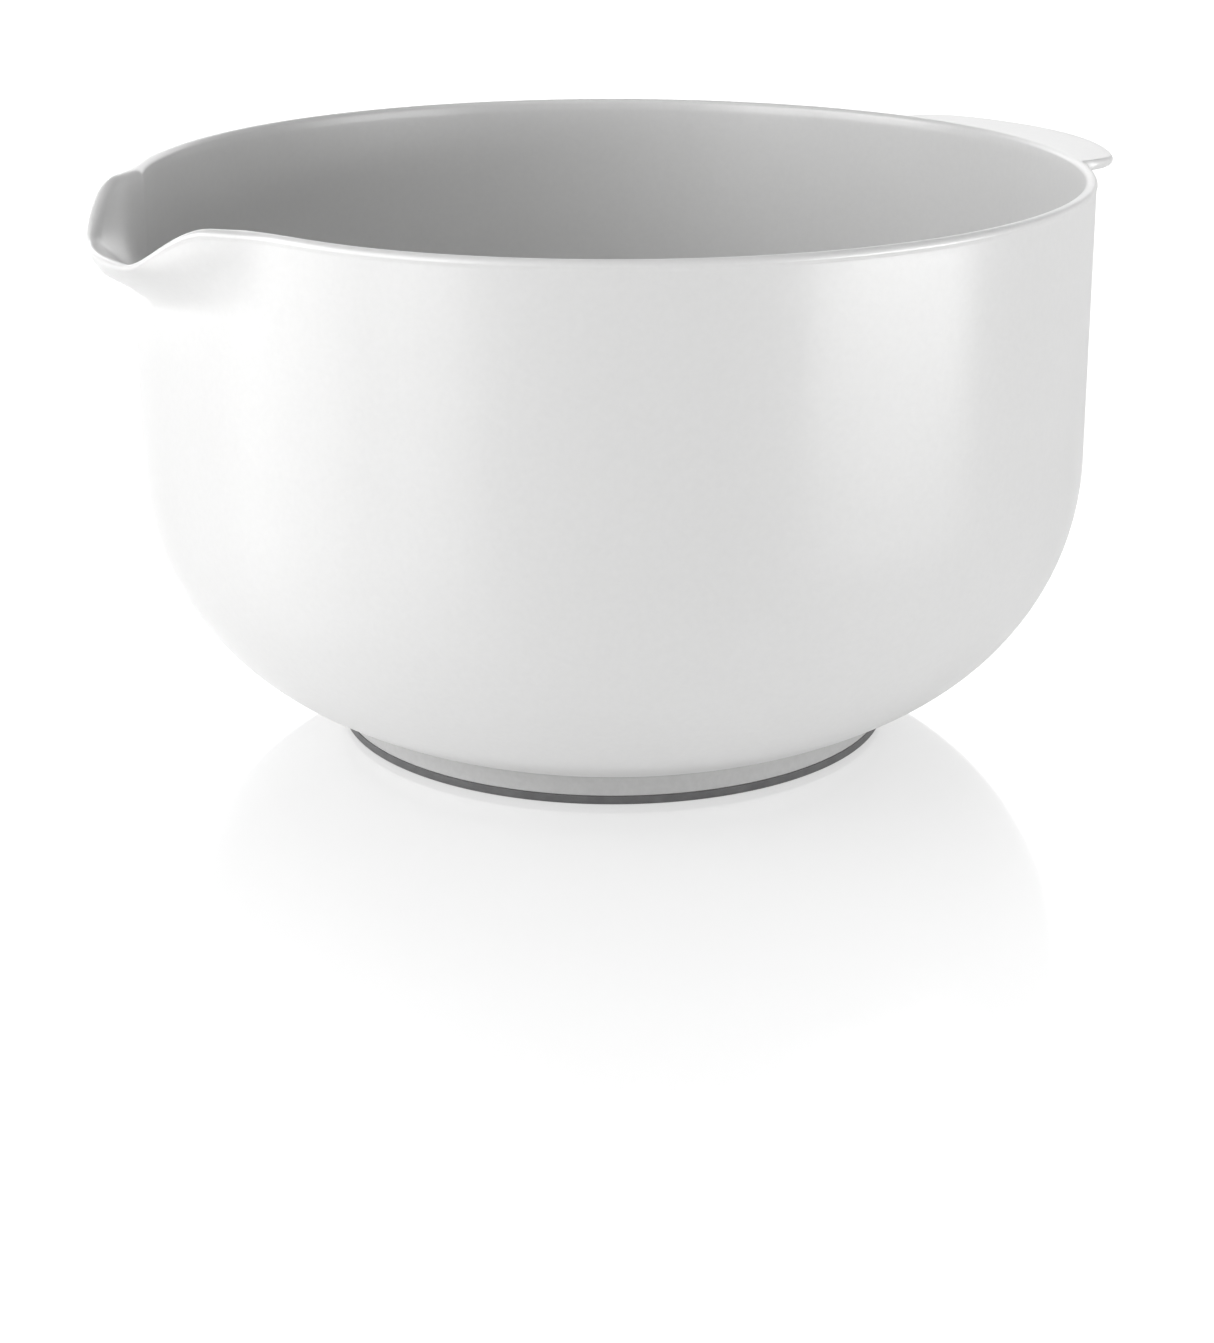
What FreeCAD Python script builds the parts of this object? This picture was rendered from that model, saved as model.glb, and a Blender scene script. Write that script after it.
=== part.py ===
"""Four-litre mixing bowl with a pouring spout, a finger grip and a non-slip base ring.

Frame: millimetres, +Z up. The origin is on the bowl's axis, on the surface that the bowl stands on.
The spout points along -X and the grip along +X, so XZ is the mirror plane of the whole object.
"""
import os

import FreeCAD
import Part
import Sketcher

# ---------------------------------------------------------------------------------------------
# Driving dimensions: alias, value, what it is
# ---------------------------------------------------------------------------------------------
SIZES = [
    ("axis", "0", "the axis of the bowl and the ring"),
    ("rim_radius", "110", "outer radius of the rolled lip"),
    ("height", "131", "table to the top of the rim"),
    ("wall", "2.7", "thickness of the moulded wall"),
    ("draft", "0.25", "draft of the side wall, degrees"),
    ("lip_step", "0.3", "how far the lip stands out from the wall"),
    ("lip_height", "3.4", "height of the lip band"),
    ("lip_round", "1.1", "rounding along the top of the rim"),
    ("belly_top", "65.8", "height where the straight wall turns into the belly"),
    ("belly_radius", "60.6", "upper belly arc"),
    ("belly_turn", "56.8", "angle below level where the two belly arcs meet, degrees"),
    ("base_radius", "92", "lower belly arc"),
    ("floor", "9.4", "height of the flat inside floor"),
    ("floor_round", "30", "rounding where the floor meets the belly"),
    ("foot_outer", "64.9", "outer radius of the foot"),
    ("foot_inner", "58.5", "inner radius of the foot"),
    ("underside", "6.4", "height of the base's underside within the foot"),
    ("seat", "2", "height of the foot's lower edge, where the ring sits"),
    ("groove_middle", "61.7", "middle radius of the groove in the foot"),
    ("groove_width", "2.4", "width of the groove"),
    ("groove_top", "4.3", "height of the groove's roof"),
    ("ring_inner", "59", "inner radius of the base ring"),
    ("ring_edge", "0.7", "chamfer round the base ring's lower edges"),
    ("root_play", "0.05", "clearance of the ring's root in the groove, each side"),
    ("root_gap", "0.2", "clearance above the ring's root"),
    ("spout_half_angle", "22.5", "half of the angle that the spout spans, degrees"),
    ("spout_reach", "123", "axis to the outside of the spout's tip"),
    ("spout_lip_drop", "14.2", "rim to the lower edge of the spout's upright lip"),
    ("spout_depth", "22.6", "rim to the lower end of the spout's keel"),
    ("spout_dip", "10.4", "how far the spout's tip lies below the rim"),
    ("dip_start", "106", "axis to where the rim starts to dip"),
    ("grip_half_angle", "21.3", "half of the angle that the grip spans, degrees"),
    ("grip_reach", "123", "axis to the outside of the grip"),
    ("grip_curve", "68.5", "radius of the grip's long outer edge"),
    ("grip_end", "13.4", "radius of the grip's two rounded ends"),
    ("grip_thickness", "2.1", "thickness of the grip"),
]

# Sizes that follow from the driving dimensions: alias, formula
DERIVED = [
    ("wall_top", "sizes.rim_radius - sizes.lip_step"),
    ("wall_low", "wall_top - (sizes.height - sizes.belly_top) * tan(sizes.draft)"),
    ("lip_low", "sizes.height - sizes.lip_height"),
    ("upper_x", "wall_low - sizes.belly_radius * cos(sizes.draft)"),
    ("upper_z", "sizes.belly_top + sizes.belly_radius * sin(sizes.draft)"),
    ("turn_x", "upper_x + sizes.belly_radius * cos(sizes.belly_turn)"),
    ("turn_z", "upper_z - sizes.belly_radius * sin(sizes.belly_turn)"),
    ("lower_x", "upper_x + (sizes.belly_radius - sizes.base_radius) * cos(sizes.belly_turn)"),
    ("lower_z", "upper_z - (sizes.belly_radius - sizes.base_radius) * sin(sizes.belly_turn)"),
    ("crease_z", "lower_z - sqrt(sizes.base_radius ^ 2 - (sizes.foot_outer - lower_x) ^ 2)"),
    ("lip_full", "lip_low + 2 * sizes.lip_step"),
    ("above_rim", "sizes.height + 2"),
    ("below_seat", "sizes.seat - 1"),
    ("ring_foot_inner", "sizes.ring_inner + sizes.ring_edge"),
    ("ring_foot_outer", "sizes.foot_outer - sizes.ring_edge"),
    ("in_top", "sizes.rim_radius - sizes.wall"),
    ("in_low", "wall_low - sizes.wall"),
    ("wall_rise", "(sizes.height - sizes.belly_top) / (above_rim - sizes.belly_top)"),
    ("rim_inner", "in_low + (in_top - in_low) * wall_rise"),
    ("in_upper", "sizes.belly_radius - sizes.wall"),
    ("in_lower", "sizes.base_radius - sizes.wall"),
    ("in_turn_x", "upper_x + in_upper * cos(sizes.belly_turn)"),
    ("in_turn_z", "upper_z - in_upper * sin(sizes.belly_turn)"),
    ("in_floor", "lower_x + sqrt(in_lower ^ 2 - (lower_z - sizes.floor) ^ 2)"),
    ("corner_radius", "sizes.rim_radius - sizes.wall / 2"),
    ("corner_x", "0 - corner_radius * cos(sizes.spout_half_angle)"),
    ("corner_y", "corner_radius * sin(sizes.spout_half_angle)"),
    ("keel_reach", "sizes.spout_reach - 2"),
    ("heel_reach", "wall_low - 0.6"),
    ("mouth_x", "corner_x + 4"),
    ("mouth_y", "corner_y - sizes.wall * 1.2"),
    ("channel_reach", "sizes.spout_reach - sizes.wall"),
    ("channel_end", "in_low - 0.8"),
    ("mouth_back", "mouth_x + 14"),
    ("dip_mid", "(sizes.dip_start + sizes.spout_reach) / 2"),
    ("dip_mid_z", "sizes.height - sizes.spout_dip / 2"),
    ("dip_low_z", "sizes.height - sizes.spout_dip"),
    ("dip_run", "sizes.spout_reach - sizes.dip_start"),
    ("dip_radius", "(dip_run ^ 2 + sizes.spout_dip ^ 2) / (4 * sizes.spout_dip)"),
    ("beyond", "sizes.spout_reach + 6"),
    ("tip_out", "sizes.spout_reach + corner_x"),
    ("tip_curve", "(tip_out ^ 2 + corner_y ^ 2) / (2 * tip_out)"),
    ("keel_curve", "((keel_reach + corner_x) ^ 2 + corner_y ^ 2) / (2 * (keel_reach + corner_x))"),
    ("heel_curve", "((heel_reach + corner_x) ^ 2 + corner_y ^ 2) / (2 * (heel_reach + corner_x))"),
    ("channel_curve", "((channel_reach + mouth_x) ^ 2 + mouth_y ^ 2) / (2 * (channel_reach + mouth_x))"),
    ("channel_end_curve", "((channel_end + mouth_x) ^ 2 + mouth_y ^ 2) / (2 * (channel_end + mouth_x))"),
    ("grip_x", "corner_radius * cos(sizes.grip_half_angle)"),
    ("grip_y", "corner_radius * sin(sizes.grip_half_angle)"),
    ("grip_turn_angle", "sizes.grip_half_angle - 5"),
    ("grip_turn_y", "sizes.grip_reach * sin(grip_turn_angle)"),
    ("grip_turn_x", "(sizes.grip_reach - sizes.grip_curve) + sqrt(sizes.grip_curve ^ 2 - grip_turn_y ^ 2)"),
    ("root_inner", "sizes.groove_middle - sizes.groove_width / 2 + sizes.root_play"),
    ("root_outer", "sizes.groove_middle + sizes.groove_width / 2 - sizes.root_play"),
    ("root_top", "sizes.groove_top - sizes.root_gap"),
    ("groove_in", "sizes.groove_middle - sizes.groove_width / 2"),
    ("groove_out", "sizes.groove_middle + sizes.groove_width / 2"),
]

# How near an edge has to lie, in millimetres, to count as the one looked for
CLOSE = 0.01


def fill_sheets(document):
    """Put the driving dimensions in one sheet and the formulas that follow from them in another."""
    sizes = document.addObject("Spreadsheet::Sheet", "sizes")
    for row, (alias, value, note) in enumerate(SIZES, start=1):
        sizes.set(f"A{row}", alias)
        sizes.set(f"B{row}", value)
        sizes.set(f"C{row}", note)
        sizes.setAlias(f"B{row}", alias)
    derived = document.addObject("Spreadsheet::Sheet", "derived")
    for row, (alias, formula) in enumerate(DERIVED, start=1):
        derived.set(f"A{row}", alias)
        derived.setAlias(f"B{row}", alias)
        derived.set(f"B{row}", "=" + formula)
    document.recompute()
    return sizes, derived


# ---------------------------------------------------------------------------------------------
# Helpers
# ---------------------------------------------------------------------------------------------
def origin_plane(body, role):
    """One of the body's own three origin planes."""
    return next(item for item in body.Origin.OriginFeatures if item.Role == role)


def add_sketch(body, name, role, level=None):
    """A sketch on an origin plane, or at the height that the formula level gives."""
    sketch = body.newObject("Sketcher::SketchObject", name)
    sketch.AttachmentSupport = [(origin_plane(body, role), "")]
    sketch.MapMode = "FlatFace"
    if level:
        sketch.setExpression("AttachmentOffset.Base.z", level)
    return sketch


def arc_through(start, end, radius, left):
    """The minor arc from start to end whose centre lies left, or right, of the way there."""
    chord = end - start
    rise = (radius ** 2 - (chord.Length / 2) ** 2) ** 0.5
    side = FreeCAD.Vector(-chord.y, chord.x, 0).normalize() * (rise if left else -rise)
    centre = start + chord * 0.5 + side
    circle = Part.Circle(centre, FreeCAD.Vector(0, 0, 1), radius)
    first, last = (start, end) if left else (end, start)
    return Part.ArcOfCircle(circle, circle.parameter(first), circle.parameter(last))


def draw_outline(sketch, values, corners):
    """Draw a closed outline and bind it to the sheets.

    Each corner is (x alias, y alias, arc): arc is None for a straight line to the next corner,
    or (radius alias, "left" or "right") for an arc whose centre is on that side of the way.
    """
    points = [FreeCAD.Vector(values[x], values[y], 0) for x, y, _ in corners]
    ends = []
    for index, (_, _, arc) in enumerate(corners):
        start, end = points[index], points[(index + 1) % len(points)]
        if arc:
            left = arc[1] == "left"
            sketch.addGeometry(arc_through(start, end, values[arc[0]], left))
            ends.append((1, 2) if left else (2, 1))
        else:
            sketch.addGeometry(Part.LineSegment(start, end))
            ends.append((1, 2))
    for index, (x, y, arc) in enumerate(corners):
        following = (index + 1) % len(corners)
        first, last = ends[index]
        joined = (index, last, following, ends[following][0])
        sketch.addConstraint(Sketcher.Constraint("Coincident", *joined))
        for kind, alias in (("DistanceX", x), ("DistanceY", y)):
            number = sketch.addConstraint(Sketcher.Constraint(kind, -1, 1, index, first, values[alias]))
            sketch.setExpression(f"Constraints[{number}]", values.place(alias))
        if arc:
            number = sketch.addConstraint(Sketcher.Constraint("Radius", index, values[arc[0]]))
            sketch.setExpression(f"Constraints[{number}]", values.place(arc[0]))


class Values:
    """Reads an alias from either sheet, and names its cell; a minus before the alias turns its sign."""

    def __init__(self, *sheets):
        self.sheets = sheets

    def sheet_of(self, alias):
        return next(sheet for sheet in self.sheets if sheet.getCellFromAlias(alias))

    def __getitem__(self, alias):
        name = alias.lstrip("-")
        value = float(self.sheet_of(name).get(name))
        return -value if alias.startswith("-") else value

    def place(self, alias):
        name = alias.lstrip("-")
        cell = f"{self.sheet_of(name).Name}.{name}"
        return "-" + cell if alias.startswith("-") else cell


def revolved(body, kind, name, sketch):
    """Turn a sketch about the vertical axis, adding to the body or cutting it."""
    feature = body.newObject("PartDesign::" + kind, name)
    feature.Profile = sketch
    feature.ReferenceAxis = (sketch, ["V_Axis"])
    feature.Angle = 360
    return feature


def lofted(body, kind, name, sketches):
    """Join level sketches by straight-sided faces, adding to the body or cutting it."""
    feature = body.newObject("PartDesign::" + kind, name)
    feature.Profile = sketches[0]
    feature.Sections = sketches[1:]
    feature.Ruled = True
    return feature


# ---------------------------------------------------------------------------------------------
# The bowl: one moulding with its foot, spout and grip
# ---------------------------------------------------------------------------------------------
def add_outside(body, values):
    """The solid outer form: foot, two-arc belly, drafted wall and lip band."""
    sketch = add_sketch(body, "outside_profile", "XZ_Plane")
    draw_outline(sketch, values, [
        ("axis", "underside", None),
        ("foot_inner", "underside", None),
        ("foot_inner", "seat", None),
        ("foot_outer", "seat", None),
        ("foot_outer", "crease_z", ("base_radius", "left")),
        ("turn_x", "turn_z", ("belly_radius", "left")),
        ("wall_low", "belly_top", None),
        ("wall_top", "lip_low", None),
        ("rim_radius", "lip_full", None),
        ("rim_radius", "height", None),
        ("axis", "height", None),
    ])
    revolved(body, "Revolution", "outside", sketch)


def add_spout_outside(body, values):
    """The spout: an upright lip above a keel that runs back down into the wall."""
    levels = [
        ("rim", "sizes.height", "spout_reach", "tip_curve"),
        ("lip", "sizes.height - sizes.spout_lip_drop", "keel_reach", "keel_curve"),
        ("heel", "sizes.height - sizes.spout_depth", "heel_reach", "heel_curve"),
    ]
    sketches = []
    for name, level, reach, curve in levels:
        sketch = add_sketch(body, "spout_" + name, "XY_Plane", level)
        draw_outline(sketch, values, [
            ("corner_x", "corner_y", (curve, "left")),
            ("-" + reach, "axis", (curve, "left")),
            ("corner_x", "-corner_y", None),
        ])
        sketches.append(sketch)
    lofted(body, "AdditiveLoft", "spout_outside", sketches)


def add_grip(body, values):
    """The flat crescent opposite the spout, flush with the rim."""
    sketch = add_sketch(body, "grip_outline", "XY_Plane", "sizes.height - sizes.grip_thickness")
    draw_outline(sketch, values, [
        ("grip_x", "-grip_y", ("grip_end", "left")),
        ("grip_turn_x", "-grip_turn_y", ("grip_curve", "left")),
        ("grip_turn_x", "grip_turn_y", ("grip_end", "left")),
        ("grip_x", "grip_y", None),
    ])
    pad = body.newObject("PartDesign::Pad", "grip")
    pad.Profile = sketch
    pad.setExpression("Length", "sizes.grip_thickness")


def cut_inside(body, values):
    """The cavity: the outer form less the wall, with a flat floor."""
    sketch = add_sketch(body, "inside_profile", "XZ_Plane")
    draw_outline(sketch, values, [
        ("axis", "floor", None),
        ("in_floor", "floor", ("in_lower", "left")),
        ("in_turn_x", "in_turn_z", ("in_upper", "left")),
        ("in_low", "belly_top", None),
        ("in_top", "above_rim", None),
        ("axis", "above_rim", None),
    ])
    revolved(body, "Groove", "inside", sketch)


def cut_channel(body, values):
    """The channel in the spout, whose floor falls back into the bowl."""
    levels = [
        ("top", "derived.above_rim", "channel_reach", "channel_curve"),
        ("tip", "derived.dip_low_z", "channel_reach", "channel_curve"),
        ("foot", "sizes.height - sizes.spout_depth - 0.8", "channel_end", "channel_end_curve"),
    ]
    sketches = []
    for name, level, reach, curve in levels:
        sketch = add_sketch(body, "channel_" + name, "XY_Plane", level)
        draw_outline(sketch, values, [
            ("mouth_back", "mouth_y", None),
            ("mouth_x", "mouth_y", (curve, "left")),
            ("-" + reach, "axis", (curve, "left")),
            ("mouth_x", "-mouth_y", None),
            ("mouth_back", "-mouth_y", None),
        ])
        sketches.append(sketch)
    lofted(body, "SubtractiveLoft", "channel", sketches)


def cut_dip(body, values):
    """Lower the rim in an S-curve from the spout's shoulders to its tip."""
    sketch = add_sketch(body, "dip_profile", "XZ_Plane")
    draw_outline(sketch, values, [
        ("-dip_start", "height", ("dip_radius", "left")),
        ("-dip_mid", "dip_mid_z", ("dip_radius", "right")),
        ("-spout_reach", "dip_low_z", None),
        ("-beyond", "dip_low_z", None),
        ("-beyond", "above_rim", None),
        ("-dip_start", "above_rim", None),
    ])
    pocket = body.newObject("PartDesign::Pocket", "dip")
    pocket.Profile = sketch
    pocket.SideType = "Symmetric"
    pocket.setExpression("Length", "2 * sizes.rim_radius")


def cut_ring_groove(body, values):
    """The groove under the foot that holds the ring's root."""
    sketch = add_sketch(body, "groove_profile", "XZ_Plane")
    draw_outline(sketch, values, [
        ("groove_in", "below_seat", None),
        ("groove_out", "below_seat", None),
        ("groove_out", "groove_top", None),
        ("groove_in", "groove_top", None),
    ])
    revolved(body, "Groove", "ring_groove", sketch)


def round_edges(body, name, radius, chosen):
    """Round the edges of the body's last feature that the test chosen picks."""
    body.Document.recompute()
    base = body.Tip
    names = [f"Edge{number}" for number, edge in enumerate(base.Shape.Edges, start=1) if chosen(edge)]
    fillet = body.newObject("PartDesign::Fillet", name)
    fillet.Base = (base, names)
    fillet.setExpression("Radius", radius)


def level_circle(edge, height, radius):
    """True for an edge that runs round the axis at this height and radius."""
    box = edge.BoundBox
    middle = edge.valueAt((edge.FirstParameter + edge.LastParameter) / 2)
    level = box.ZLength < CLOSE and abs(middle.z - height) < CLOSE
    return level and abs((middle.x ** 2 + middle.y ** 2) ** 0.5 - radius) < CLOSE


def make_bowl(document, values):
    body = document.addObject("PartDesign::Body", "bowl")
    body.Label = "bowl"
    add_outside(body, values)
    add_spout_outside(body, values)
    add_grip(body, values)
    cut_inside(body, values)
    cut_channel(body, values)
    cut_dip(body, values)
    cut_ring_groove(body, values)
    round_edges(body, "floor_rounding", "sizes.floor_round",
                lambda edge: level_circle(edge, values["floor"], values["in_floor"]))
    round_edges(body, "rim_rounding", "sizes.lip_round",
                lambda edge: level_circle(edge, values["height"], values["rim_inner"]))
    body.Placement = FreeCAD.Placement()
    return body


# ---------------------------------------------------------------------------------------------
# The base ring: a soft ring that lies under the foot, with a root plugged into its groove
# ---------------------------------------------------------------------------------------------
def make_ring(document, values):
    body = document.addObject("PartDesign::Body", "base_ring")
    body.Label = "base_ring"
    sketch = add_sketch(body, "ring_profile", "XZ_Plane")
    draw_outline(sketch, values, [
        ("ring_foot_inner", "axis", None),
        ("ring_foot_outer", "axis", None),
        ("foot_outer", "ring_edge", None),
        ("foot_outer", "seat", None),
        ("root_outer", "seat", None),
        ("root_outer", "root_top", None),
        ("root_inner", "root_top", None),
        ("root_inner", "seat", None),
        ("ring_inner", "seat", None),
        ("ring_inner", "ring_edge", None),
    ])
    revolved(body, "Revolution", "ring", sketch)
    body.Placement = FreeCAD.Placement()
    return body


# ---------------------------------------------------------------------------------------------
# Check and write
# ---------------------------------------------------------------------------------------------
def check(document, bodies):
    """Stop if any object failed to recompute, or a piece is not one valid solid."""
    for item in document.Objects:
        if "Invalid" in item.State or "Error" in item.State:
            raise RuntimeError(f"{item.Name} did not recompute: {item.State}")
    for body in bodies:
        shape = body.Shape
        if shape.isNull() or not shape.isValid() or len(shape.Solids) != 1:
            raise RuntimeError(f"{body.Label} is not one valid solid")
        box = shape.BoundBox
        extent = f"{box.XLength:.1f} x {box.YLength:.1f} x {box.ZLength:.1f} mm"
        print(f"{body.Label}: {shape.Volume / 1000:.1f} cm3, {extent}")


def main():
    document = FreeCAD.newDocument("mixing_bowl")
    values = Values(*fill_sheets(document))
    bodies = [make_bowl(document, values), make_ring(document, values)]
    document.recompute()
    check(document, bodies)
    os.makedirs("parts", exist_ok=True)
    for body in bodies:
        body.Shape.exportStep(f"parts/{body.Label}.step")


main()
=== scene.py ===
"""Looks for a white moulded mixing bowl with a pouring spout, a finger grip and a soft base ring.

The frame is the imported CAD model: metres, +Z up, the spout towards -X and the grip towards +X.
Shapes are worked out in millimetres and turned into metres when a mesh is made.
"""
import math

import bpy
import numpy as np
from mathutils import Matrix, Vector


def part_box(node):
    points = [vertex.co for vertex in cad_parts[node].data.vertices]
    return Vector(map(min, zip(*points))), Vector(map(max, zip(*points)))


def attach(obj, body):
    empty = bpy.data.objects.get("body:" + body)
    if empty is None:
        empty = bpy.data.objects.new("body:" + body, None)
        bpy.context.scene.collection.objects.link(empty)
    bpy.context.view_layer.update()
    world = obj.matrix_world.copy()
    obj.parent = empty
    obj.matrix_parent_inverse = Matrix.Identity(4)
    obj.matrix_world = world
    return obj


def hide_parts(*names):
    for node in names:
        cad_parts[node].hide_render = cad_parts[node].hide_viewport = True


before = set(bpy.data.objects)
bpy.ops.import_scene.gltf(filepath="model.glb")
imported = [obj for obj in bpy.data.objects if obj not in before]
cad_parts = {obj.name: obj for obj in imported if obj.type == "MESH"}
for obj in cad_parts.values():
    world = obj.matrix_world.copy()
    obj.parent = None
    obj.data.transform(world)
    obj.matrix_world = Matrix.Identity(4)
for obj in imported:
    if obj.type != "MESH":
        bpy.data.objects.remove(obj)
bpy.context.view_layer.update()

MM = 0.001

# ---------------------------------------------------------------------------------------------
# Sizes, in millimetres and degrees
# ---------------------------------------------------------------------------------------------
bowl_low, bowl_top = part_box("bowl")
ring_low, ring_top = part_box("base_ring")

RIM = bowl_top.y / MM            # outer radius of the rolled lip
HEIGHT = bowl_top.z / MM         # table to the top of the rim
FOOT = ring_top.x / MM           # outer radius of the foot and of the ring under it
SEAT = bowl_low.z / MM           # height of the foot's lower edge, where the ring sits

WALL = 2.7
DRAFT = 0.25
BEAD = 0.18                      # how far the lip's bead stands out from the wall
BELLY_TOP = 65.8                 # height where the straight wall turns into the belly
UPPER_ARC = 60.6
LOWER_ARC = 92.0
BELLY_TURN = 56.8                # angle below level where the two belly arcs meet
FLOOR = 9.4                      # height of the flat inside floor
FLOOR_ROUND = 30.0
FOOT_INNER = 58.5
UNDERSIDE = 6.4
GROOVE = (60.5, 62.9)            # inner and outer radius of the groove under the foot
GROOVE_TOP = 4.3

RING_INNER = 59.0
ROOT = (60.55, 62.85)            # inner and outer radius of the ring's root, which fits in the groove
ROOT_TOP = 4.1

SPOUT_REACH = 122.3              # axis to the outside of the spout's tip
SPOUT_CORNER = (109.3, 23.8)     # radius and half-angle of the two places where the spout leaves the wall
SPOUT_BLEND = 4.0                # the hollow rounding outside, between the spout and the wall
SPOUT_FOLD = (14.6, 3.4)         # depth of the lip's lower edge, at the tip and at the shoulders
SPOUT_END = (22.0, 15.6)         # depth where the spout runs out into the wall, at the same two places
SPOUT_LEAN = 0.31                # how much the upright lip leans back for each millimetre of depth
SPOUT_RUN_OUT = (0.16, 0.2)      # how rounded the start and the end of that run-out are
SPOUT_DIP = 10.4                 # how far the rim drops at the tip
DIP_ANGLES = (18.7, 6.1)         # angles from the tip between which it drops
SHOULDER_RISE = 0.3              # slight swell of the rim beside the spout
SHOULDER = (27.0, 8.0)           # its angle from the tip, and its width

CHANNEL_REACH = 120.4            # the channel in the spout: axis to its wall at the tip
CHANNEL_CORNER = (107.3, 21.8)   # radius and half-angle of its two upright edges
CHANNEL_START = 1.0              # its wall starts to slope this far above the rim
CHANNEL_END = (105.9, 23.4)      # reach and depth at the channel's lower end
CHANNEL_EDGE = 0.12              # rounding of the two upright edges

GRIP_REACH = 123.5
GRIP_CURVE = 68.5                # radius of the grip's long outer edge
GRIP_END = 13.4                  # radius of its two rounded ends
GRIP_HALF_ANGLE = 21.3
GRIP_THICKNESS = 2.5
GRIP_ROOT = 1.2                  # the lip changes into the grip over this much reach

SHAPED_DEPTH = 26.0              # the spout and its dip reach this far below the rim
SHAPED_FULL = 4.0                # down to this depth the wall moves with the rim's dip
SHAPED_ANGLE = 45.0              # and this far round from its tip


# ---------------------------------------------------------------------------------------------
# Small shape functions
# ---------------------------------------------------------------------------------------------
def smooth_max(a, b, blend):
    """The larger of the two, rounded over where they differ by less than blend."""
    return np.maximum(a, b) + np.maximum(blend - np.abs(a - b), 0) ** 2 / (4 * blend)


def smooth_min(a, b, blend):
    return -smooth_max(-a, -b, blend)


def smooth_step(t):
    t = np.clip(t, 0, 1)
    return t * t * (3 - 2 * t)


def blend_between(a, b, t):
    return a + (b - a) * t


def arc_points(centre, radius, start, end, count):
    """Points on an arc in the section, from one angle below level to the other."""
    angle = np.radians(np.linspace(start, end, count))
    return np.column_stack([centre[0] + radius * np.cos(angle), centre[1] - radius * np.sin(angle)])


def line_points(start, end, count):
    """Points from start up to, but not including, end."""
    t = np.linspace(0, 1, count, endpoint=False)[:, None]
    return np.array(start) + (np.array(end) - np.array(start)) * t


def rounded_points(corners, steps=4):
    """A polyline whose corners (r, z, round) are rounded; round 0 keeps a corner sharp."""
    points = [corners[0][:2]]
    for before, corner, after in zip(corners, corners[1:], corners[2:]):
        middle, reach = np.array(corner[:2], float), corner[2]
        if not reach:
            points.append(middle)
            continue
        towards = [np.array(p[:2], float) - middle for p in (before, after)]
        start, end = (middle + d / np.linalg.norm(d) * reach for d in towards)
        for t in np.linspace(0, 1, steps + 1):
            points.append((1 - t) ** 2 * start + 2 * t * (1 - t) * middle + t * t * end)
    points.append(corners[-1][:2])
    return np.array(points, float)


def plan_arc(angle, reach, corner):
    """Radius, at an angle from the middle, of the arc through (reach, 0) and the two corners."""
    corner_x = corner[0] * math.cos(math.radians(corner[1]))
    corner_y = corner[0] * math.sin(math.radians(corner[1]))
    out = np.maximum(reach - corner_x, 0.5)
    radius = (out ** 2 + corner_y ** 2) / (2 * out)
    centre = corner_x + out - radius
    turn = np.radians(angle)
    return centre * np.cos(turn) + np.sqrt(np.maximum(radius ** 2 - (centre * np.sin(turn)) ** 2, 0))


# ---------------------------------------------------------------------------------------------
# The bowl's section: outside from the base's middle up to the lip, then down inside to the floor
# ---------------------------------------------------------------------------------------------
def wall_radius(z):
    """Outside radius of the drafted wall at a height."""
    return RIM - BEAD - (HEIGHT - z) * math.tan(math.radians(DRAFT))


BELLY_RADIUS = wall_radius(BELLY_TOP)
UPPER_CENTRE = np.array([BELLY_RADIUS - UPPER_ARC * math.cos(math.radians(DRAFT)),
                         BELLY_TOP + UPPER_ARC * math.sin(math.radians(DRAFT))])
TURN_WAY = np.array([math.cos(math.radians(BELLY_TURN)), -math.sin(math.radians(BELLY_TURN))])
LOWER_CENTRE = UPPER_CENTRE + (UPPER_ARC - LOWER_ARC) * TURN_WAY
LIP_ROWS_DEPTH = 3.0             # rows nearer to the top than this belong to the lip


def crease_height():
    """Height of the crease where the belly meets the foot."""
    return LOWER_CENTRE[1] - math.sqrt(LOWER_ARC ** 2 - (FOOT - LOWER_CENTRE[0]) ** 2)


def outside_section():
    """Underside, foot with its groove, belly and wall, up to the lip."""
    crease_angle = math.degrees(math.acos((FOOT - LOWER_CENTRE[0]) / LOWER_ARC))
    crease_z = crease_height()
    foot = rounded_points([
        (0.5, UNDERSIDE, 0),
        (20, UNDERSIDE, 0),
        (40, UNDERSIDE, 0),
        (FOOT_INNER, UNDERSIDE, 1.2),
        (FOOT_INNER, SEAT, 0.3),
        (GROOVE[0], SEAT, 0.15),
        (GROOVE[0], GROOVE_TOP, 0.15),
        (GROOVE[1], GROOVE_TOP, 0.15),
        (GROOVE[1], SEAT, 0.15),
        (FOOT - 0.15, SEAT, 0.3),
        (FOOT - 0.15, crease_z - 0.35, 0),
        (FOOT - 0.05, crease_z - 0.15, 0),
        (FOOT + 0.3, crease_z + 0.1, 0),
    ])
    belly = np.vstack([
        arc_points(LOWER_CENTRE, LOWER_ARC, crease_angle - 0.6, BELLY_TURN, 14)[:-1],
        arc_points(UPPER_CENTRE, UPPER_ARC, BELLY_TURN, DRAFT, 36)[:-1],
    ])
    shaped = HEIGHT - SHAPED_DEPTH
    wall = np.vstack([
        line_points((BELLY_RADIUS, BELLY_TOP), (wall_radius(shaped), shaped), 8),
        line_points((wall_radius(shaped), shaped),
                    (wall_radius(HEIGHT - LIP_ROWS_DEPTH), HEIGHT - LIP_ROWS_DEPTH), 28),
    ])
    return np.vstack([foot, belly, wall])


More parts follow.
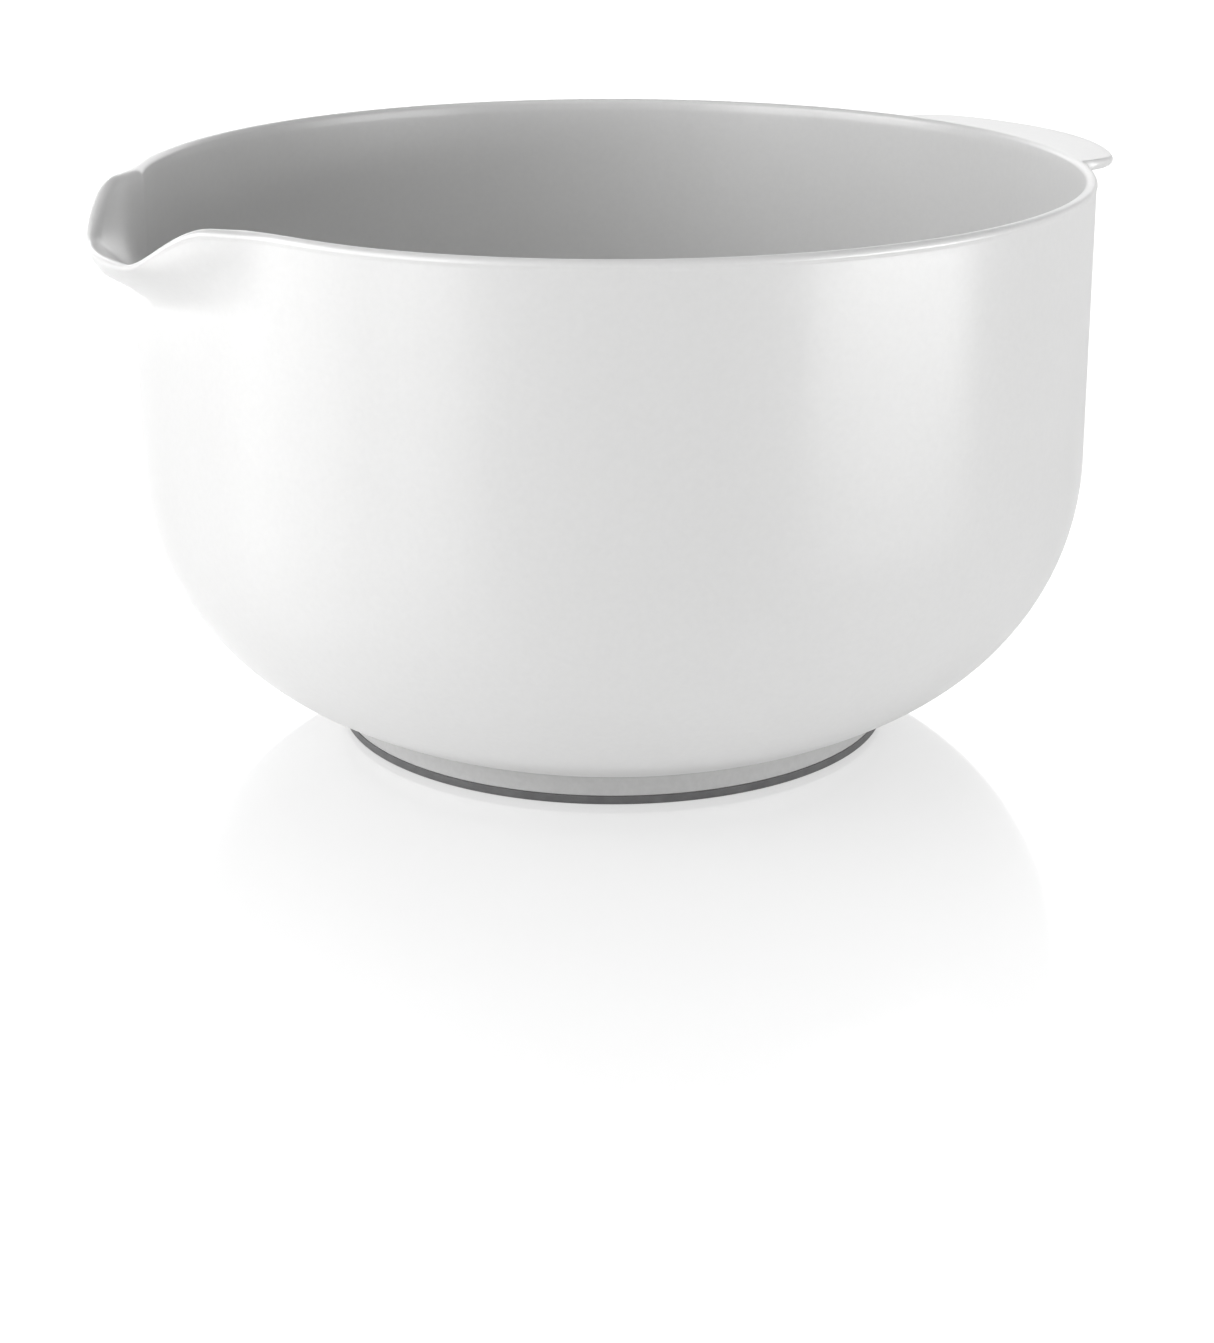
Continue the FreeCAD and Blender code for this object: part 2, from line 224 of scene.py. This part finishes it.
def inside_section():
    """From the lip down the inside of the wall and the belly to the middle of the floor."""
    inner = UPPER_CENTRE, UPPER_ARC - WALL
    lower = LOWER_ARC - WALL
    shaped = HEIGHT - SHAPED_DEPTH
    top = HEIGHT - LIP_ROWS_DEPTH
    floor_centre_z = FLOOR + FLOOR_ROUND
    gap = lower - FLOOR_ROUND
    floor_centre_r = LOWER_CENTRE[0] + math.sqrt(gap ** 2 - (LOWER_CENTRE[1] - floor_centre_z) ** 2)
    floor_turn = math.degrees(math.asin((LOWER_CENTRE[1] - floor_centre_z) / gap))
    return np.vstack([
        line_points((wall_radius(top) - WALL, top), (wall_radius(shaped) - WALL, shaped), 28),
        line_points((wall_radius(shaped) - WALL, shaped), (BELLY_RADIUS - WALL, BELLY_TOP), 8),
        arc_points(*inner, DRAFT, BELLY_TURN, 36)[:-1],
        arc_points(LOWER_CENTRE, lower, BELLY_TURN, floor_turn, 6)[:-1],
        arc_points((floor_centre_r, floor_centre_z), FLOOR_ROUND, floor_turn, 90, 10),
        [(40, FLOOR), (20, FLOOR), (0.5, FLOOR)],
    ])


def lip_section(reach):
    """The lip's rows from the outside of the wall over the top to the inside.

    reach is the radius out to which the grip carries the lip; a plain lip has reach equal to RIM.
    Every reach gives the same number of rows, so that neighbouring columns join up.
    """
    half = WALL / 2
    middle = RIM - half
    wall = wall_radius(HEIGHT)
    nose = GRIP_THICKNESS / 2
    if reach <= RIM:
        under = [(wall, HEIGHT - 2.6), (wall, HEIGHT - 2.2), (wall + 0.02, HEIGHT - 1.95),
                 (wall + 0.1, HEIGHT - 1.78), (RIM - 0.12, HEIGHT - 1.62), (RIM - 0.02, HEIGHT - 1.48)]
        outer = arc_points((middle, HEIGHT - half), half, 0, -78, 9)
        across = arc_points((middle, HEIGHT - half), half, -80, -90, 5)
    else:
        edge = reach - nose
        shelf = HEIGHT - GRIP_THICKNESS
        under = [(wall, shelf - 0.7), (wall + 0.1, shelf - 0.4), (wall + 0.35, shelf - 0.12),
                 (wall + 0.7, shelf), (blend_between(RIM, edge, 0.4), shelf),
                 (blend_between(RIM, edge, 0.8), shelf)]
        outer = arc_points((edge, HEIGHT - nose), nose, 90, -90, 9)
        share = np.linspace(0.1, 1, 5)
        across = np.column_stack([blend_between(edge, middle, share), np.full(5, HEIGHT)])
    inner = arc_points((middle, HEIGHT - half), half, -90, -180, 9)[1:]
    return np.vstack([under, outer, across, inner, [(wall - WALL + 0.03, HEIGHT - 2.2)]])


def grip_reach(angle):
    """Radius of the grip's outline at an angle from its middle, or RIM beyond its ends.

    The long edge and the two ends are arcs that run into each other.
    """
    offset = GRIP_REACH - GRIP_CURVE
    end_turn = math.radians(GRIP_HALF_ANGLE) - GRIP_END / RIM
    end_radius = offset * math.cos(end_turn) + math.sqrt(
        (GRIP_CURVE - GRIP_END) ** 2 - (offset * math.sin(end_turn)) ** 2)
    meeting_x = offset + (end_radius * math.cos(end_turn) - offset) * GRIP_CURVE / (GRIP_CURVE - GRIP_END)
    meeting_y = end_radius * math.sin(end_turn) * GRIP_CURVE / (GRIP_CURVE - GRIP_END)
    turn = math.radians(angle)
    if turn < math.atan2(meeting_y, meeting_x):
        return offset * math.cos(turn) + math.sqrt(GRIP_CURVE ** 2 - (offset * math.sin(turn)) ** 2)
    inside = GRIP_END ** 2 - (end_radius * math.sin(turn - end_turn)) ** 2
    if inside < 0:
        return RIM
    return max(end_radius * math.cos(turn - end_turn) + math.sqrt(inside), RIM)


# ---------------------------------------------------------------------------------------------
# The spout, as a change of radius and height on top of the plain section
# ---------------------------------------------------------------------------------------------
def rim_drop(angle):
    """How far the rim lies below the top at an angle from the spout's tip."""
    drop = SPOUT_DIP * smooth_step((DIP_ANGLES[0] - angle) / (DIP_ANGLES[0] - DIP_ANGLES[1]))
    return drop - SHOULDER_RISE * np.exp(-((angle - SHOULDER[0]) / SHOULDER[1]) ** 2)


def spout_outside(angle, depth):
    """How far the spout's outside stands out from the wall."""
    full = plan_arc(angle, SPOUT_REACH, SPOUT_CORNER) - RIM
    full = smooth_max(full, np.zeros_like(full), SPOUT_BLEND)
    along = np.clip(angle / SPOUT_CORNER[1], 0, 1)
    fold = blend_between(*SPOUT_FOLD, along)
    end = blend_between(*SPOUT_END, along)
    share = smooth_min((end - depth) / (end - fold), np.ones_like(full), SPOUT_RUN_OUT[0])
    share = smooth_max(share, np.zeros_like(full), SPOUT_RUN_OUT[1])
    lean = SPOUT_LEAN * np.maximum(depth - SPOUT_DIP, 0) * full / (SPOUT_REACH - RIM)
    return np.maximum(full * share - lean * share, 0)


def spout_inside(angle, depth):
    """How far the channel's surface lies outside the inner wall.

    The surface slopes inwards from the rim down. Where it comes inside the wall, there is no channel.
    """
    start = np.maximum(rim_drop(angle) - CHANNEL_START, 0)
    slope = (CHANNEL_REACH - CHANNEL_END[0]) / (CHANNEL_END[1] - start)
    reach = CHANNEL_REACH - slope * np.maximum(depth - start, 0)
    out = plan_arc(angle, reach, CHANNEL_CORNER) - CHANNEL_CORNER[0]
    out = np.where(reach > CHANNEL_CORNER[0], out, -1.0)
    return smooth_max(out, np.zeros_like(out), CHANNEL_EDGE)


def column_angles():
    """Angles of the columns, in degrees from the grip: close together at the spout and the grip."""
    spans = [(0, 12, 1.0), (12, 29, 0.35), (29, 140, 1.5), (140, 153, 0.8), (153, 180, 0.3)]
    half = np.concatenate([np.arange(start, end, step) for start, end, step in spans])
    return np.concatenate([half, [180.0], 360 - half[:0:-1]])


def bowl_columns():
    """One section per column: radius and height of every row, in arrays of columns by rows."""
    outside, inside = outside_section(), inside_section()
    angles = column_angles()
    radii, heights = [], []
    for angle in angles:
        from_grip = min(angle, 360 - angle)
        reach = grip_reach(from_grip)
        plain, gripped = lip_section(RIM), lip_section(max(reach, RIM + 0.01))
        lip = blend_between(plain, gripped, smooth_step((reach - RIM) / GRIP_ROOT))
        section = np.vstack([outside, lip, inside])
        from_tip = 180 - from_grip
        depth = HEIGHT - section[:, 1]
        hold = smooth_step((SHAPED_DEPTH - depth) / (SHAPED_DEPTH - SHAPED_FULL))
        depth = depth + float(rim_drop(np.array(from_tip))) * hold
        across = np.clip((wall_radius(section[:, 1]) - section[:, 0]) / WALL, 0, 1)
        turn = np.full(len(section), from_tip)
        out = blend_between(spout_outside(turn, depth), spout_inside(turn, depth), across)
        shaped = (depth < SHAPED_DEPTH) & (from_tip < SHAPED_ANGLE)
        radii.append(section[:, 0] + np.where(shaped, out, 0))
        heights.append(HEIGHT - depth)
    return np.radians(angles), np.array(radii), np.array(heights)


# ---------------------------------------------------------------------------------------------
# Meshes
# ---------------------------------------------------------------------------------------------
def new_object(name, points, faces):
    """A smooth-shaded mesh object from points in millimetres."""
    mesh = bpy.data.meshes.new(name)
    mesh.from_pydata((np.asarray(points) * MM).tolist(), [], faces)
    mesh.polygons.foreach_set("use_smooth", [True] * len(mesh.polygons))
    mesh.update()
    piece = bpy.data.objects.new(name, mesh)
    bpy.context.scene.collection.objects.link(piece)
    return piece


def turned_mesh(name, turns, radii, heights, closed):
    """Join columns of (radius, height) round the axis; closed joins the last row to the first."""
    columns, rows = radii.shape
    x = radii * np.cos(turns)[:, None]
    y = radii * np.sin(turns)[:, None]
    points = np.stack([x, y, heights], axis=2).reshape(-1, 3)
    faces = []
    for column in range(columns):
        here, there = column * rows, (column + 1) % columns * rows
        for row in range(rows if closed else rows - 1):
            after = (row + 1) % rows
            faces.append((here + row, there + row, there + after, here + after))
    if not closed:
        faces.append([column * rows for column in reversed(range(columns))])
        faces.append([column * rows + rows - 1 for column in range(columns)])
    return new_object(name, points, faces)


def make_bowl():
    """The moulding, whose foot takes the second of its two materials: the same white painted darker, as
    painted shade.
    """
    turns, radii, heights = bowl_columns()
    bowl = turned_mesh("bowl_moulding", turns, radii, heights, closed=False)
    # Faces on the foot below the crease take the darker material, which is painted shade.
    for face in bowl.data.polygons:
        on_foot = math.hypot(face.center.x, face.center.y) > FOOT_INNER * MM
        if on_foot and face.center.z < crease_height() * MM:
            face.material_index = 1
    return bowl


def make_ring():
    """The soft ring: a flat band under the foot, with a root that goes up into the groove."""
    section = rounded_points([
        ((RING_INNER + FOOT) / 2, 0, 0),
        (FOOT, 0, 0.45),
        (FOOT, SEAT, 0.2),
        (ROOT[1], SEAT, 0.1),
        (ROOT[1], ROOT_TOP, 0.3),
        (ROOT[0], ROOT_TOP, 0.3),
        (ROOT[0], SEAT, 0.1),
        (RING_INNER, SEAT, 0.2),
        (RING_INNER, 0, 0.45),
        ((RING_INNER + FOOT) / 2, 0, 0),
    ])[:-1]
    turns = np.radians(np.arange(0, 360, 1.5))
    radii = np.tile(section[:, 0], (len(turns), 1))
    heights = np.tile(section[:, 1], (len(turns), 1))
    return turned_mesh("soft_ring", turns, radii, heights, closed=True)


# ---------------------------------------------------------------------------------------------
# Materials
# ---------------------------------------------------------------------------------------------
MOULDING_IOR = 1.75
WHITE_TONES = ((0.77, 0.77, 0.767), (0.79, 0.79, 0.787))
WHITE_ROUGHNESS = (0.29, 0.33)
# The foot's tones are the white painted much darker: painted shade on the foot under the belly, down to
# the ring. Its roughness is higher too.
FOOT_SHADE_TONES = ((0.47, 0.47, 0.468), (0.51, 0.51, 0.508))
FOOT_ROUGHNESS = (0.5, 0.6)


def new_material(name):
    """A node material: returns it with its node tree's nodes, links and the shader."""
    material = bpy.data.materials.new(name)
    material.use_nodes = True
    nodes, links = material.node_tree.nodes, material.node_tree.links
    return material, nodes, links, nodes["Principled BSDF"]


def object_noise(nodes, links, scale, detail, roughness=0.5):
    """Noise fixed to the object, so that it stays put when the piece moves."""
    where = nodes.new("ShaderNodeTexCoord")
    noise = nodes.new("ShaderNodeTexNoise")
    noise.inputs["Scale"].default_value = scale
    noise.inputs["Detail"].default_value = detail
    noise.inputs["Roughness"].default_value = roughness
    links.new(where.outputs["Object"], noise.inputs["Vector"])
    return noise.outputs["Fac"]


def ramp(nodes, links, source, low, high, position=(0.3, 0.7)):
    """Turn a noise value into a colour between low and high."""
    node = nodes.new("ShaderNodeValToRGB")
    for element, place, tone in zip(node.color_ramp.elements, position, (low, high)):
        element.position = place
        element.color = (*tone, 1)
    links.new(source, node.inputs["Fac"])
    return node.outputs["Color"]


def map_range(nodes, links, source, low, high, between=(0.3, 0.7)):
    """Turn a value that runs between two numbers into one that runs from low to high."""
    node = nodes.new("ShaderNodeMapRange")
    node.inputs["From Min"].default_value, node.inputs["From Max"].default_value = between
    node.inputs["To Min"].default_value = low
    node.inputs["To Max"].default_value = high
    links.new(source, node.inputs["Value"])
    return node.outputs["Result"]


def larger_of(nodes, links, source, other):
    """The larger of a value and either another value or a plain number."""
    node = nodes.new("ShaderNodeMath")
    node.operation = "MAXIMUM"
    links.new(source, node.inputs[0])
    if isinstance(other, float):
        node.inputs[1].default_value = other
    else:
        links.new(other, node.inputs[1])
    return node.outputs["Value"]


def add_bump(nodes, links, shader, source, strength, distance):
    """Add a bump below any bump that the shader already has."""
    bump = nodes.new("ShaderNodeBump")
    bump.inputs["Strength"].default_value = strength
    bump.inputs["Distance"].default_value = distance
    links.new(source, bump.inputs["Height"])
    for link in shader.inputs["Normal"].links:
        links.new(link.from_socket, bump.inputs["Normal"])
    links.new(bump.outputs["Normal"], shader.inputs["Normal"])


def white_melamine(name, tones, roughness):
    """Satin-matt white moulding: a fine grain in the surface, and a faint cloudiness in the white."""
    material, nodes, links, shader = new_material(name)
    grain = object_noise(nodes, links, 1400, 3)
    mottle = object_noise(nodes, links, 700, 3, 0.6)
    cloud = object_noise(nodes, links, 14, 3)
    tone = ramp(nodes, links, mottle, *tones)
    haze = ramp(nodes, links, cloud, (0.985, 0.985, 0.985), (1, 1, 1))
    mix = nodes.new("ShaderNodeMix")
    mix.data_type = "RGBA"
    mix.blend_type = "MULTIPLY"
    mix.inputs["Factor"].default_value = 1
    links.new(tone, mix.inputs["A"])
    links.new(haze, mix.inputs["B"])
    links.new(mix.outputs["Result"], shader.inputs["Base Color"])
    links.new(map_range(nodes, links, cloud, *roughness), shader.inputs["Roughness"])
    shader.inputs["IOR"].default_value = MOULDING_IOR
    add_bump(nodes, links, shader, mottle, 0.1, 0.00004)
    add_bump(nodes, links, shader, grain, 0.12, 0.00003)
    return material


def grey_silicone():
    """Soft grey rubber with a powdery bloom."""
    material, nodes, links, shader = new_material("grey_silicone")
    bloom = object_noise(nodes, links, 300, 4)
    grain = object_noise(nodes, links, 1800, 2)
    tone = ramp(nodes, links, bloom, (0.1, 0.1, 0.102), (0.135, 0.135, 0.137))
    links.new(tone, shader.inputs["Base Color"])
    links.new(map_range(nodes, links, bloom, 0.6, 0.72), shader.inputs["Roughness"])
    shader.inputs["IOR"].default_value = 1.41
    shader.inputs["Sheen Weight"].default_value = 0.15
    add_bump(nodes, links, shader, grain, 0.25, 0.00005)
    return material


def pale_floor():
    """Smooth white acrylic, which mirrors what stands on it faintly.

    The glow is the floor's own light, which the camera sees in full and the bowl only in part. It is less
    where the bowl stands, which is a painted contact shadow.
    """
    material, nodes, links, shader = new_material("pale_floor")
    rays = nodes.new("ShaderNodeLightPath")
    is_seen = rays.outputs["Is Camera Ray"]
    share = larger_of(nodes, links, is_seen, FLOOR_FILL)
    where = nodes.new("ShaderNodeTexCoord")
    distance = nodes.new("ShaderNodeVectorMath")
    distance.operation = "LENGTH"
    links.new(where.outputs["Object"], distance.inputs[0])
    # The floor's glow falls off towards the bowl, which gives a painted contact shadow round the base.
    glow = map_range(nodes, links, distance.outputs["Value"], *FLOOR_GLOW_AND_SHADOW, between=GLOW_SPAN)
    seen_glow = nodes.new("ShaderNodeMath")
    seen_glow.operation = "MULTIPLY"
    links.new(glow, seen_glow.inputs[0])
    links.new(share, seen_glow.inputs[1])
    links.new(seen_glow.outputs["Value"], shader.inputs["Emission Strength"])
    shader.inputs["Emission Color"].default_value = (1, 1, 1, 1)
    # Seen by the camera, the floor's colour is 0.3 instead of 0.9, so the real shadows on it show only
    # faintly.
    tone = ramp(nodes, links, is_seen, (0.9, 0.9, 0.9), (0.3, 0.3, 0.3), position=(0, 1))
    links.new(tone, shader.inputs["Base Color"])
    shader.inputs["IOR"].default_value = FLOOR_IOR
    haze = object_noise(nodes, links, 3, 2)
    links.new(map_range(nodes, links, haze, 0.04, 0.06), shader.inputs["Roughness"])
    return material


# ---------------------------------------------------------------------------------------------
# Studio
# ---------------------------------------------------------------------------------------------
CAMERA_AZIMUTH = -25.0           # the camera stands this far round from looking along +Y
CAMERA_DISTANCE = 0.6366         # level distance from the bowl's axis
CAMERA_HEIGHT = 0.2372
CAMERA_PITCH = 15.69             # degrees below level
CAMERA_LENS = 74.8
CAMERA_SHIFT = (-0.0045, -0.150)

# Softboxes: name, azimuth, level distance, height, width, other side, watts
LIGHTS = [
    ("key_left", -77, 1.2, 0.48, 0.84, 0.9, 8.9),
    ("front_left", -42, 1.2, 0.45, 0.5, 0.9, 5.3),
    ("back_left", -150, 1.2, 0.45, 0.42, 0.9, 1.0),
    ("right", 64, 1.2, 0.4, 0.9, 0.9, 2.6),
    ("low_right", 64, 1.2, 0.12, 0.9, 0.22, 5.4),
    ("top", 0, 0.01, 1.3, 1.0, 1.0, 2.2),
    ("back", 180, 1.2, 0.55, 1.5, 0.5, 3.4),
]

ROOM_WHITE = 1.0                 # the room as the camera and the glossy surfaces see it
ROOM_LIGHT = 0.01                # the room as a light
FLOOR_HALF = 3.0                 # half of the side of the square floor
FLOOR_IOR = 1.9
# The floor's glow is evenly white away from the bowl. Its lower value near the bowl is a painted contact
# shadow.
FLOOR_GLOW_AND_SHADOW = (0.54, 0.78)        # the floor's own light, near to the bowl and away from it
FLOOR_FILL = 0.14                # the share of its light that reaches the bowl
GLOW_SPAN = (0.06, 0.22)         # the distances between which it changes


def camera_way(azimuth):
    """Level direction from the axis at an angle round from the camera's side, seen from above."""
    turn = math.radians(CAMERA_AZIMUTH + azimuth)
    return Vector((math.sin(turn), -math.cos(turn), 0))


def add_camera():
    data = bpy.data.cameras.new("camera")
    data.lens = CAMERA_LENS
    data.shift_x, data.shift_y = CAMERA_SHIFT
    data.clip_start = 0.01
    camera = bpy.data.objects.new("camera", data)
    camera.location = camera_way(0) * CAMERA_DISTANCE + Vector((0, 0, CAMERA_HEIGHT))
    camera.rotation_euler = (math.radians(90 - CAMERA_PITCH), 0, math.radians(CAMERA_AZIMUTH))
    bpy.context.scene.collection.objects.link(camera)
    bpy.context.scene.camera = camera


def add_light(name, azimuth, distance, height, width, tall, power):
    """A softbox facing the bowl; azimuth is degrees to the right of the camera, round the axis."""
    data = bpy.data.lights.new(name, "AREA")
    data.shape = "RECTANGLE"
    data.size, data.size_y = width, tall
    data.energy = power
    light = bpy.data.objects.new(name, data)
    light.location = camera_way(azimuth) * distance + Vector((0, 0, height))
    aim = Vector((0, 0, HEIGHT * MM / 2)) - light.location
    light.rotation_euler = aim.to_track_quat("-Z", "Y").to_euler()
    bpy.context.scene.collection.objects.link(light)


def add_world():
    """A white room: white to look at and in reflections, but hardly a light by itself."""
    world = bpy.data.worlds.new("studio")
    world.use_nodes = True
    bpy.context.scene.world = world
    nodes, links = world.node_tree.nodes, world.node_tree.links
    seen = nodes["Background"]
    seen.inputs["Color"].default_value = (1, 1, 1, 1)
    seen.inputs["Strength"].default_value = ROOM_WHITE
    lit = nodes.new("ShaderNodeBackground")
    lit.inputs["Color"].default_value = (1, 1, 1, 1)
    lit.inputs["Strength"].default_value = ROOM_LIGHT
    rays = nodes.new("ShaderNodeLightPath")
    mix = nodes.new("ShaderNodeMixShader")
    shows = larger_of(nodes, links, rays.outputs["Is Camera Ray"], rays.outputs["Is Glossy Ray"])
    links.new(shows, mix.inputs["Fac"])
    links.new(lit.outputs["Background"], mix.inputs[1])
    links.new(seen.outputs["Background"], mix.inputs[2])
    links.new(mix.outputs["Shader"], nodes["World Output"].inputs["Surface"])


def add_floor():
    half = FLOOR_HALF / MM
    points = [(-half, -half, 0), (half, -half, 0), (half, half, 0), (-half, half, 0)]
    floor = new_object("floor", points, [(0, 1, 2, 3)])
    floor.data.materials.append(pale_floor())


# ---------------------------------------------------------------------------------------------
# Scene
# ---------------------------------------------------------------------------------------------
bowl = make_bowl()
bowl.data.materials.append(white_melamine("white_melamine", WHITE_TONES, WHITE_ROUGHNESS))
# The foot's material is the same white painted darker, as painted shade.
bowl.data.materials.append(white_melamine("painted_shade_foot", FOOT_SHADE_TONES, FOOT_ROUGHNESS))
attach(bowl, "bowl")
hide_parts("bowl")

ring = make_ring()
ring.data.materials.append(grey_silicone())
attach(ring, "base_ring")
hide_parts("base_ring")

add_floor()
add_world()
for light in LIGHTS:
    add_light(*light)
add_camera()
bpy.context.scene.view_settings.view_transform = "Standard"
